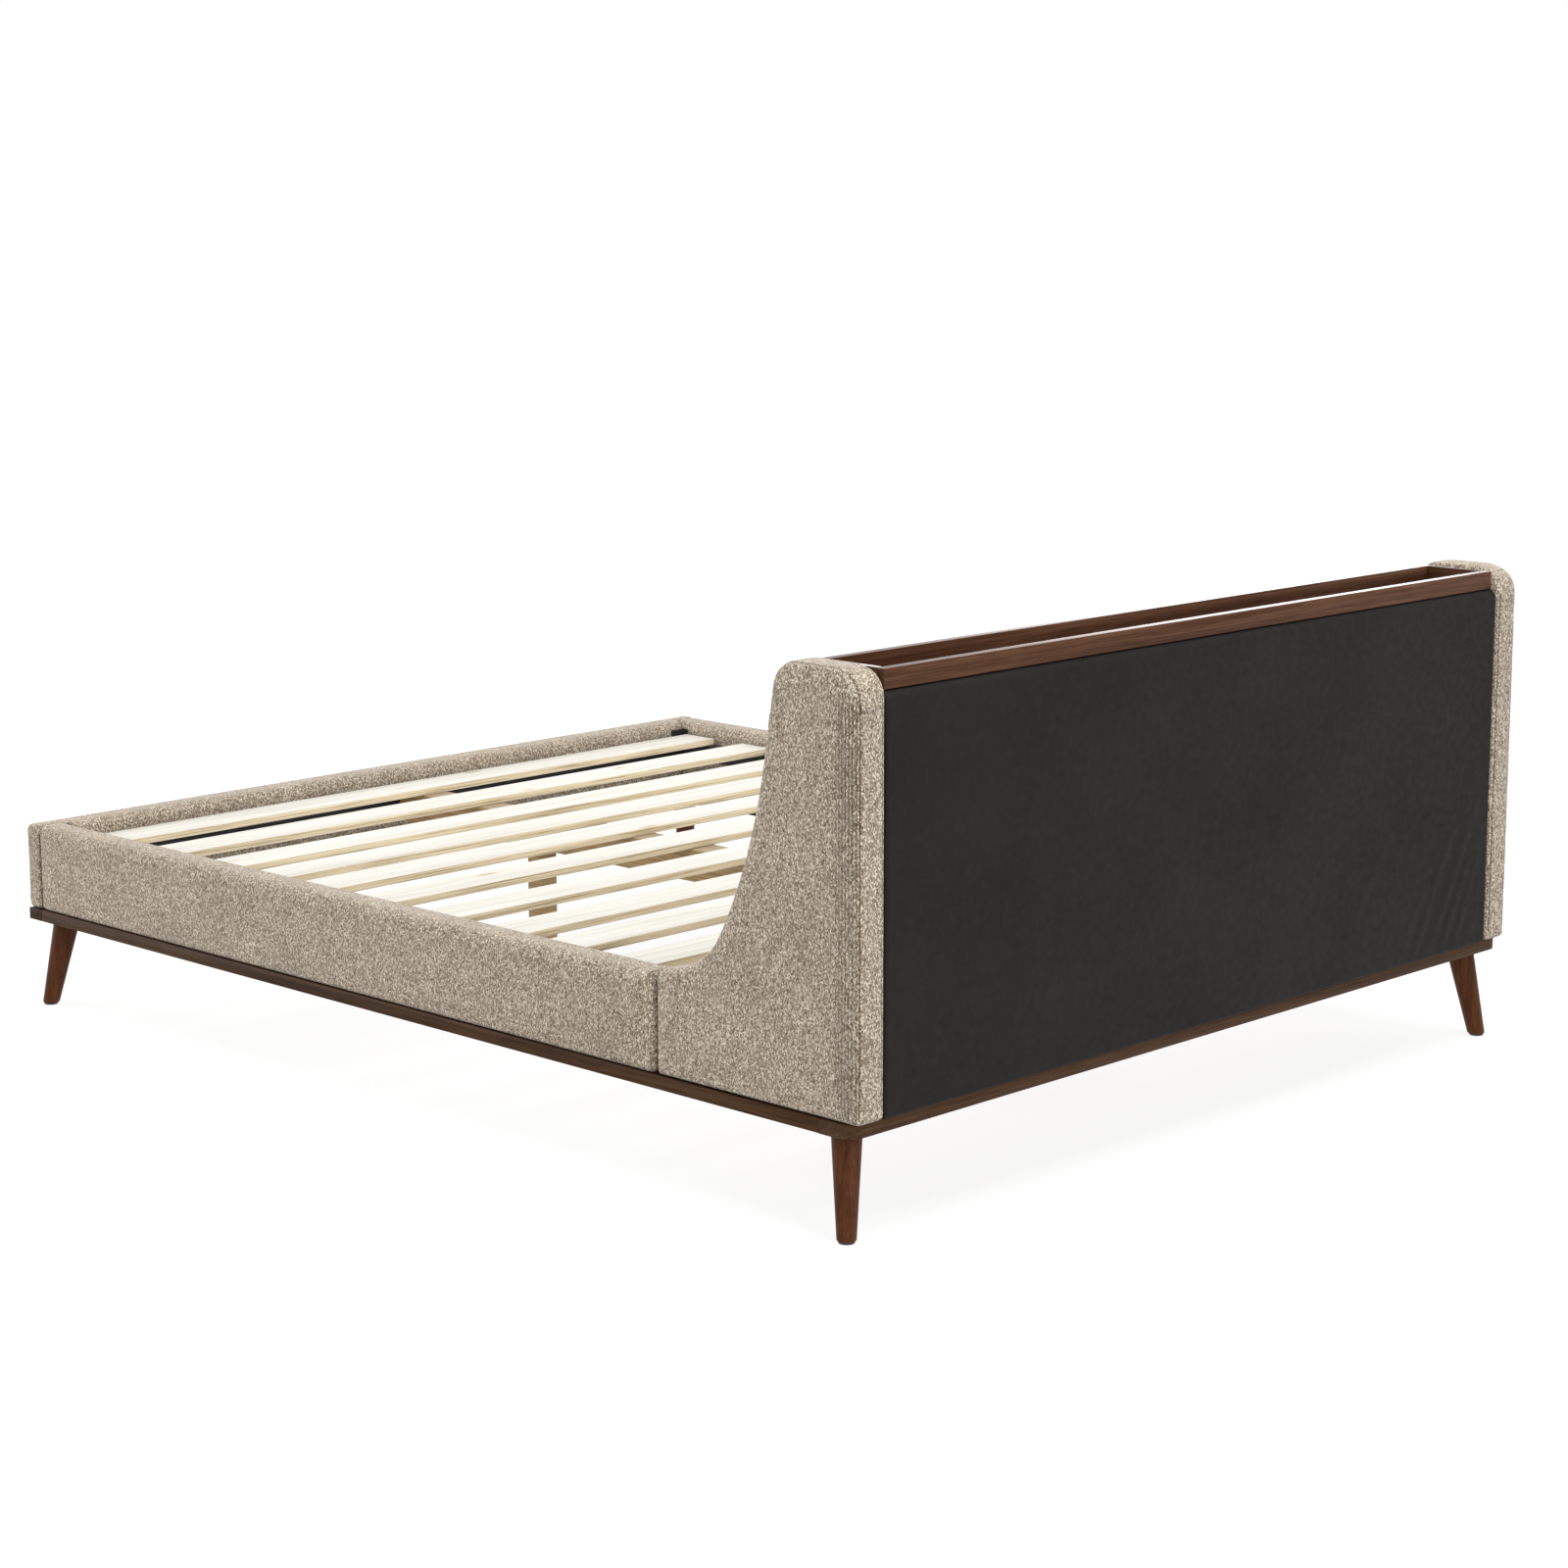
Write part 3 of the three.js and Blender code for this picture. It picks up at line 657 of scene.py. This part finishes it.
def wrinkle(x, z, foot_x, foot_z, length, turn, height):
    """One slanting fold: a ridge with a shallow valley beside it, fading out at both ends."""
    a = math.radians(turn)
    along = (x - foot_x) * math.cos(a) + (z - foot_z) * math.sin(a)
    across = -(x - foot_x) * math.sin(a) + (z - foot_z) * math.cos(a)
    across = across + 0.004 * np.sin(along * 11 + foot_x * 40)
    ends = smoothstep(-0.02, 0.06, along) * smoothstep(length + 0.02, length - 0.06, along)
    return height * ends * (ridge(across, 0, 0.010) - 0.6 * ridge(across, 0.016, 0.012))


def panel_relief(x, z):
    """Slow waves and the wrinkles of the artificial leather, none at the panel's two sides."""
    waves = 0.0006 * np.sin(x * 7.3 + 1.1 * z) * np.sin(z * 6.1 + 0.8) + 0.0004 * np.sin(x * 17 + z * 11)
    folds = sum(wrinkle(x, z, *fold) for fold in WRINKLES)
    return (waves + folds) * smoothstep(0, 0.05, panel_high.x - np.abs(x))


def panel_lines():
    """The grid's X and Z, closer together towards the rounded edges."""
    xs = np.unique(np.concatenate([
        np.linspace(panel_low.x, panel_low.x + PANEL_FINE, 9),
        np.arange(panel_low.x + PANEL_FINE, panel_high.x - PANEL_FINE, PANEL_STEP),
        np.linspace(panel_high.x - PANEL_FINE, panel_high.x, 9),
    ]))
    zs = np.unique(np.concatenate([
        np.linspace(panel_low.z, panel_low.z + PANEL_FINE_FOOT, 5),
        np.arange(panel_low.z + PANEL_FINE_FOOT, panel_high.z - PANEL_FINE, PANEL_STEP),
        np.linspace(panel_high.z - PANEL_FINE, panel_high.z, 10),
    ]))
    return xs, zs


def grid_border(columns, rows):
    """Indices of a grid's border points, in order round it."""
    first_row = list(range(columns))
    last_column = [r * columns + columns - 1 for r in range(1, rows)]
    last_row = [(rows - 1) * columns + c for c in range(columns - 2, -1, -1)]
    first_column = [r * columns for r in range(rows - 2, 0, -1)]
    return first_row + last_column + last_row + first_column


def back_panel():
    xs, zs = panel_lines()
    x, z = np.meshgrid(xs, zs)
    y = panel_high.y - PANEL_SET_BACK - panel_rounding(x, z) + panel_relief(x, z)
    back = np.stack([x, y, z], -1).reshape(-1, 3)
    front = np.stack([x, np.full_like(x, panel_low.y), z], -1).reshape(-1, 3)
    columns, rows = len(xs), len(zs)
    faces = []
    for r in range(rows - 1):
        for c in range(columns - 1):
            i = r * columns + c
            faces.append((i, i + columns, i + columns + 1, i + 1))
    border = grid_border(columns, rows)
    start = len(back)
    for i in range(len(border)):
        j = (i + 1) % len(border)
        faces.append((border[i], border[j], start + j, start + i))
    faces.append(tuple(start + i for i in range(len(border))))
    rim = [front[i] for i in border]
    made = outward(new_object("back_panel_cover", list(back) + rim, faces))
    smooth(made)
    made.data.set_sharp_from_angle(angle=math.radians(50))
    return made


# ---- Materials ----------------------------------------------------------------------------------
class Shader:
    """A material's node tree, with short calls that add nodes and link them."""

    def __init__(self, name, roughness, specular=0.5):
        self.material = bpy.data.materials.new(name)
        self.material.use_nodes = True
        self.tree = self.material.node_tree
        self.bsdf = self.tree.nodes["Principled BSDF"]
        self.bsdf.inputs["Roughness"].default_value = roughness
        self.bsdf.inputs["Specular IOR Level"].default_value = specular
        self.place = self.node("ShaderNodeTexCoord").outputs["Object"]

    def node(self, kind, links=None, **settings):
        made = self.tree.nodes.new(kind)
        for key, value in settings.items():
            setattr(made, key, value)
        for key, value in (links or {}).items():
            self.put(made.inputs[key], value)
        return made

    def put(self, socket, value):
        if isinstance(value, bpy.types.NodeSocket):
            self.tree.links.new(value, socket)
        else:
            socket.default_value = value

    def set(self, name, value):
        self.put(self.bsdf.inputs[name], value)

    def scaled(self, x, y, z):
        """Object coordinates times one factor for each axis, in repeats a metre."""
        made = self.node("ShaderNodeVectorMath", operation="MULTIPLY")
        self.put(made.inputs[0], self.place)
        self.put(made.inputs[1], (x, y, z))
        return made.outputs[0]

    def noise(self, vector, detail=2.0, roughness=0.5, distortion=0.0):
        made = self.node("ShaderNodeTexNoise", {
            "Vector": vector, "Scale": 1.0, "Detail": detail, "Roughness": roughness,
            "Distortion": distortion,
        })
        return made.outputs["Fac"]

    def cells(self, vector, randomness=1.0):
        """A Voronoi texture, whose outputs are a colour for each cell and the distance in it."""
        return self.node("ShaderNodeTexVoronoi", {
            "Vector": vector, "Scale": 1.0, "Randomness": randomness,
        }).outputs

    def attribute(self, name):
        return self.node("ShaderNodeAttribute", attribute_name=name).outputs["Fac"]

    def upwards(self):
        """Z of the surface's normal."""
        normal = self.node("ShaderNodeNewGeometry").outputs["Normal"]
        return self.node("ShaderNodeSeparateXYZ", {"Vector": normal}).outputs[2]

    def calc(self, operation, a, b=0.0):
        made = self.node("ShaderNodeMath", operation=operation)
        self.put(made.inputs[0], a)
        self.put(made.inputs[1], b)
        return made.outputs[0]

    def remap(self, value, low, high, to_low=0.0, to_high=1.0):
        made = self.node("ShaderNodeMapRange", {
            "Value": value, "From Min": low, "From Max": high, "To Min": to_low, "To Max": to_high,
        })
        return made.outputs[0]

    def ramp(self, value, places, colours):
        """Blends through the colours as value passes the places."""
        made = self.node("ShaderNodeValToRGB", {"Fac": value})
        elements = made.color_ramp.elements
        while len(elements) < len(places):
            elements.new(0.5)
        for element, place, colour in zip(elements, places, colours):
            element.position = place
            element.color = (*colour, 1)
        return made.outputs["Color"]

    def mix(self, factor, a, b, blend="MIX"):
        """Two colours mixed. A colour mix keeps them in sockets 6 and 7, and its result in 2."""
        made = self.node("ShaderNodeMix", data_type="RGBA", blend_type=blend)
        self.put(made.inputs["Factor"], factor)
        for socket, colour in ((made.inputs[6], a), (made.inputs[7], b)):
            self.put(socket, (*colour, 1) if isinstance(colour, tuple) else colour)
        return made.outputs[2]

    def shade(self, colour, value):
        """colour times a grey value."""
        grey = self.node("ShaderNodeCombineColor", {"Red": value, "Green": value, "Blue": value})
        return self.mix(1.0, colour, grey.outputs[0], "MULTIPLY")

    def bump(self, height, distance, strength, normal=None):
        made = self.node("ShaderNodeBump", {"Height": height, "Distance": distance, "Strength": strength})
        if normal is not None:
            self.put(made.inputs["Normal"], normal)
        return made.outputs[0]


def yarn_loops(s):
    """Cells stretched upwards and swayed, one for each loop of yarn."""
    sway = s.node("ShaderNodeTexNoise", {"Vector": s.scaled(150, 150, 90), "Scale": 1.0, "Detail": 1.0})
    shift = s.node("ShaderNodeVectorMath", {"Scale": LOOP_SWAY}, operation="SCALE")
    s.put(shift.inputs[0], sway.outputs["Color"])
    lie = s.node("ShaderNodeVectorMath", operation="ADD")
    s.put(lie.inputs[0], s.scaled(1 / LOOP, 1 / LOOP, 1 / LOOP_TALL))
    s.put(lie.inputs[1], shift.outputs[0])
    return s.cells(lie.outputs[0], 0.9)


def rib_lines(s):
    """Lines at RIB_PITCH, wandering a little, where the fabric is marked as ribbed."""
    wander = s.calc("MULTIPLY", s.noise(s.scaled(14, 14, 14), 1.0), RIB_WANDER)
    run = s.calc("ADD", s.attribute("rib_run"), wander)
    turn = s.calc("MULTIPLY", run, 2 * math.pi / RIB_PITCH)
    wave = s.calc("MULTIPLY", s.calc("ADD", s.calc("COSINE", turn), 1.0), 0.5)
    return s.calc("MULTIPLY", s.calc("POWER", wave, 2.0), s.attribute("rib_mask"))


def sewn_shadow(s, ribs):
    """Grey value of the fabric: 1 in the open, dark in creases, seams and ribs."""
    seam = s.remap(s.attribute("seam_gap"), 0.0006, 0.0022, 1.0, 0.0)
    dark = s.calc("MAXIMUM", s.attribute("crease"), s.calc("MULTIPLY", seam, 0.95))
    dark = s.calc("MAXIMUM", dark, s.calc("MULTIPLY", ribs, 0.8))
    return s.remap(dark, 0.0, 1.0, 1.0, 0.22)


def tweed():
    """Heathered tweed: upright yarn loops in three tones, with painted highlights on their crowns and
    painted shade between.
    """
    s = Shader("tweed", 0.95, 0.15)
    loops = yarn_loops(s)
    ribs = rib_lines(s)
    tone = s.node("ShaderNodeSeparateColor", {"Color": loops["Color"]}).outputs[0]
    tones = (TWEED_DARK, TWEED_DARK, TWEED_MID, TWEED_MID, TWEED_LIGHT)
    base = s.ramp(tone, (0.0, 0.10, 0.34, 0.58, 0.86), tones)
    # Painted highlight in the middle of each loop and painted shade towards its edges.
    crown = s.remap(loops["Distance"], 0.15, 0.85, 1.15, 0.62)
    fibres = s.remap(s.noise(s.scaled(900, 900, 700)), 0.3, 0.7, 0.86, 1.14)
    cloud = s.remap(s.noise(s.scaled(9, 9, 7), 3.0), 0.3, 0.7, 0.93, 1.07)
    yarn = s.calc("MULTIPLY", crown, fibres)
    value = s.calc("MULTIPLY", yarn, s.calc("MULTIPLY", cloud, sewn_shadow(s, ribs)))
    s.set("Base Color", s.shade(base, value))
    height = s.calc("SUBTRACT", s.remap(tone, 0, 1, 0.4, 1.0), loops["Distance"])
    folds = s.bump(s.calc("MULTIPLY", ribs, -1.0), 0.0012, 0.8)
    s.set("Normal", s.bump(height, 0.0011, 0.75, folds))
    s.set("Sheen Weight", 0.28)
    s.set("Sheen Roughness", 0.4)
    return s.material


def leatherette():
    """Charcoal artificial leather: fine pebble grain, mottled, with a soft sheen."""
    s = Shader("leatherette", 0.55, 0.13)
    cloud = s.noise(s.scaled(3.2, 3.2, 3.2), 4.0, 0.6)
    s.set("Base Color", s.ramp(cloud, (0.3, 0.7), LEATHERETTE))
    pebbles = s.cells(s.scaled(520, 520, 520))["Distance"]
    height = s.calc("ADD", pebbles, s.noise(s.scaled(240, 240, 240), 3.0))
    s.set("Normal", s.bump(height, 0.0004, 0.45))
    s.set("Roughness", s.remap(s.noise(s.scaled(60, 60, 60)), 0.3, 0.7, 0.50, 0.62))
    return s.material


def along_grain(axis, slow, fast):
    """Repeats a metre on X, Y and Z: slow along the grain's axis and fast across it."""
    return tuple(slow if name == axis else fast for name in "xyz")


def walnut(name, along, tones, roughness=0.42, rim=0.0):
    """Stained walnut with its grain along one axis. rim is extra lacquer on faces turned up."""
    s = Shader(name, roughness, 0.06)
    grain_scale = along_grain(along, 1.6, 95.0)
    streaks = s.noise(s.scaled(*grain_scale), 4.0, 0.62, distortion=0.35)
    wide = s.noise(s.scaled(*(factor / 9 for factor in grain_scale)))
    pores = s.noise(s.scaled(*along_grain(along, 14, 420.0)))
    grain = s.calc("ADD", s.calc("MULTIPLY", streaks, 0.65), s.calc("MULTIPLY", wide, 0.35))
    base = s.ramp(grain, (0.32, 0.5, 0.68), tones)
    s.set("Base Color", s.shade(base, s.remap(pores, 0.34, 0.56, 0.72, 1.06)))
    s.set("Roughness", s.remap(streaks, 0.3, 0.7, roughness - 0.06, roughness + 0.08))
    s.set("Normal", s.bump(s.calc("ADD", streaks, pores), 0.0003, 0.35))
    if rim:
        s.set("Coat Weight", s.remap(s.upwards(), 0.55, 0.9, 0.0, rim))
        s.set("Coat Roughness", 0.26)
        s.set("Coat IOR", 1.9)
    return s.material


def pine(name, along, tint=(1.0, 1.0, 1.0)):
    """Pale laminated timber: faint grain and small knots on the faces, glue lines along the edges."""
    s = Shader(name, 0.62, 0.35)
    grain = s.noise(s.scaled(*along_grain(along, 2.2, 70)), 4.0, 0.6, distortion=0.5)
    face = s.ramp(grain, (0.30, 0.5, 0.7), PINE_FACE)
    knots = s.cells(s.scaled(2.3, 9.5, 9.5))["Distance"]
    face = s.mix(s.remap(knots, 0.03, 0.085, 1.0, 0.0), face, PINE_KNOT)
    layers = s.noise(s.scaled(4.0, 4.0, 430), 3.0, 0.7)
    edge = s.ramp(layers, (0.34, 0.46, 0.62), PINE_EDGE)
    flat = s.remap(s.calc("ABSOLUTE", s.upwards()), 0.45, 0.75)
    s.set("Base Color", s.mix(1.0, s.mix(flat, edge, face), tint, "MULTIPLY"))
    s.set("Normal", s.bump(grain, 0.0003, 0.3))
    return s.material


def plywood():
    s = Shader("plywood", 0.7, 0.3)
    grain = s.noise(s.scaled(3, 60, 60), 4.0, 0.6, distortion=0.6)
    s.set("Base Color", s.ramp(grain, (0.3, 0.5, 0.7), PLYWOOD))
    s.set("Normal", s.bump(grain, 0.0004, 0.3))
    return s.material


def plain(name, tones, roughness, metallic=0.0, scale=180, specular=0.5):
    """A finish with fine mottling between two tones and a slight orange-peel surface."""
    s = Shader(name, roughness, specular)
    speck = s.noise(s.scaled(scale, scale, scale), 3.0)
    s.set("Base Color", s.ramp(speck, (0.3, 0.7), tones))
    s.set("Metallic", metallic)
    s.set("Roughness", s.remap(speck, 0.3, 0.7, roughness - 0.06, roughness + 0.06))
    s.set("Normal", s.bump(speck, 0.0002, 0.25))
    return s.material


# ---- CAD pieces that keep their shape -----------------------------------------------------------
def dress(obj, material, bevel, segments):
    """Gives a CAD node its finish, eased edges and smooth shading. Its own mesh stays as it is."""
    obj.data.materials.clear()
    obj.data.materials.append(material)
    weld = obj.modifiers.new("weld", "WELD")
    weld.merge_threshold = 1e-5
    ease = obj.modifiers.new("bevel", "BEVEL")
    ease.limit_method = "ANGLE"
    ease.angle_limit = math.radians(40)
    ease.width = bevel
    ease.segments = segments
    ease.harden_normals = True
    smooth(obj)


def finishes():
    """Material and bevel of the CAD nodes, by how their names start. The first that fits counts."""
    beam = pine("beam_pine", "y", BEAM_TINT)
    plastic = plain("black_plastic", BLACK_PLASTIC, 0.55, scale=500)
    return [
        (("plinth_head", "plinth_foot"), walnut("walnut_across", "x", WALNUT), 0.0018),
        (("plinth_side",), walnut("walnut_along", "y", WALNUT), 0.0018),
        (("tray_end",), walnut("tray_walnut_along", "y", TRAY_WALNUT, rim=0.9), 0.0012),
        (("tray_",), walnut("tray_walnut_across", "x", TRAY_WALNUT, rim=0.9), 0.0009),
        (("leg_bolt",), plain("steel", STEEL, 0.35, 1.0), 0.0004),
        (("leg_",), walnut("leg_walnut", "z", LEG_WALNUT, roughness=0.40), 0.0028),
        (("glide_", "leveller_"), plastic, 0.0008),
        (("slat_",), pine("pine", "x"), 0.0013),
        (("centre_beam", "centre_leg"), beam, 0.0015),
        (("side_ledger", "foot_ledger"), plain("black_timber", BLACK_TIMBER, 0.7, specular=0.3), 0.0015),
        (("corner_bracket",), plain("black_steel", BLACK_STEEL, 0.45, scale=400), 0.0008),
        (("side_rail_board", "foot_panel_board", "wing_board", "head_"), plywood(), 0.0008),
    ]


def dress_frame():
    rules = finishes()
    for name, obj in nodes.items():
        for starts, material, bevel in rules:
            if name.startswith(starts):
                dress(obj, material, bevel, 3 if "leg" in name else 2)
                break


# ---- The upholstery -----------------------------------------------------------------------------
def settle(obj, name, node, material):
    """Names a finished piece, gives it its material and lets it stand for its CAD node."""
    obj.name = name
    obj.data.name = name
    obj.data.materials.clear()
    obj.data.materials.append(material)
    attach(obj, BODY)
    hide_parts(node)


def build_upholstery():
    fabric = tweed()
    wing, rail, foot, cushion = build_pads()
    finish_wing(wing)
    finish_rail(rail)
    finish_foot(foot)
    finish_cushion(cushion)
    wing_left = mirror_copy(wing, "wing_left")
    rail_left = mirror_copy(rail, "rail_left")
    settle(wing, "wing_fabric_right", "wing_cover_right", fabric)
    settle(wing_left, "wing_fabric_left", "wing_cover_left", fabric)
    settle(rail, "rail_fabric_right", "side_rail_cover_right", fabric)
    settle(rail_left, "rail_fabric_left", "side_rail_cover_left", fabric)
    settle(foot, "foot_fabric", "foot_panel_cover", fabric)
    settle(cushion, "cushion_fabric", "head_cushion", fabric)
    settle(back_panel(), "back_leatherette", "back_panel", leatherette())


# ---- Floor, light and camera --------------------------------------------------------------------
def floor():
    h = FLOOR_SIZE / 2
    made = new_object("floor", [(-h, -h, 0), (h, -h, 0), (h, h, 0), (-h, h, 0)], [(0, 1, 2, 3)])
    s = Shader("floor", 0.9, 0.0)
    s.set("Base Color", (FLOOR_WHITE, FLOOR_WHITE, FLOOR_WHITE, 1))
    s.set("Emission Color", (1, 1, 1, 1))
    s.set("Emission Strength", FLOOR_GLOW)
    made.data.materials.append(s.material)


def soft_light(name, place, target, width, height, power):
    data = bpy.data.lights.new(name, "AREA")
    data.shape = "RECTANGLE"
    data.size = width
    data.size_y = height
    data.energy = power
    lamp = bpy.data.objects.new(name, data)
    lamp.location = place
    aim = Vector(target) - Vector(place)
    lamp.rotation_mode = "QUATERNION"
    lamp.rotation_quaternion = aim.to_track_quat("-Z", "Y")
    lamp.visible_camera = False
    bpy.context.scene.collection.objects.link(lamp)


def studio():
    world = bpy.data.worlds.new("studio")
    world.use_nodes = True
    background = world.node_tree.nodes["Background"]
    background.inputs["Color"].default_value = (1, 1, 1, 1)
    background.inputs["Strength"].default_value = SKY
    bpy.context.scene.world = world
    bpy.context.scene.view_settings.view_transform = "Standard"
    for light in LIGHTS:
        soft_light(*light)


def camera():
    yaw, pitch, roll = (math.radians(a) for a in (CAMERA_YAW, CAMERA_PITCH, CAMERA_ROLL))
    ahead = Vector((math.cos(pitch) * math.cos(yaw), math.cos(pitch) * math.sin(yaw), -math.sin(pitch)))
    level = ahead.cross(Vector((0, 0, 1))).normalized()
    down = ahead.cross(level)
    right = level * math.cos(roll) + down * math.sin(roll)
    up = level * math.sin(roll) - down * math.cos(roll)
    data = bpy.data.cameras.new("camera")
    data.lens = CAMERA_LENS
    data.sensor_width = CAMERA_SENSOR
    made = bpy.data.objects.new("camera", data)
    turn = Matrix((right, up, -ahead)).transposed().to_4x4()
    made.matrix_world = Matrix.Translation(CAMERA_PLACE) @ turn
    bpy.context.scene.collection.objects.link(made)
    bpy.context.scene.camera = made


camera()
studio()
floor()
dress_frame()
build_upholstery()
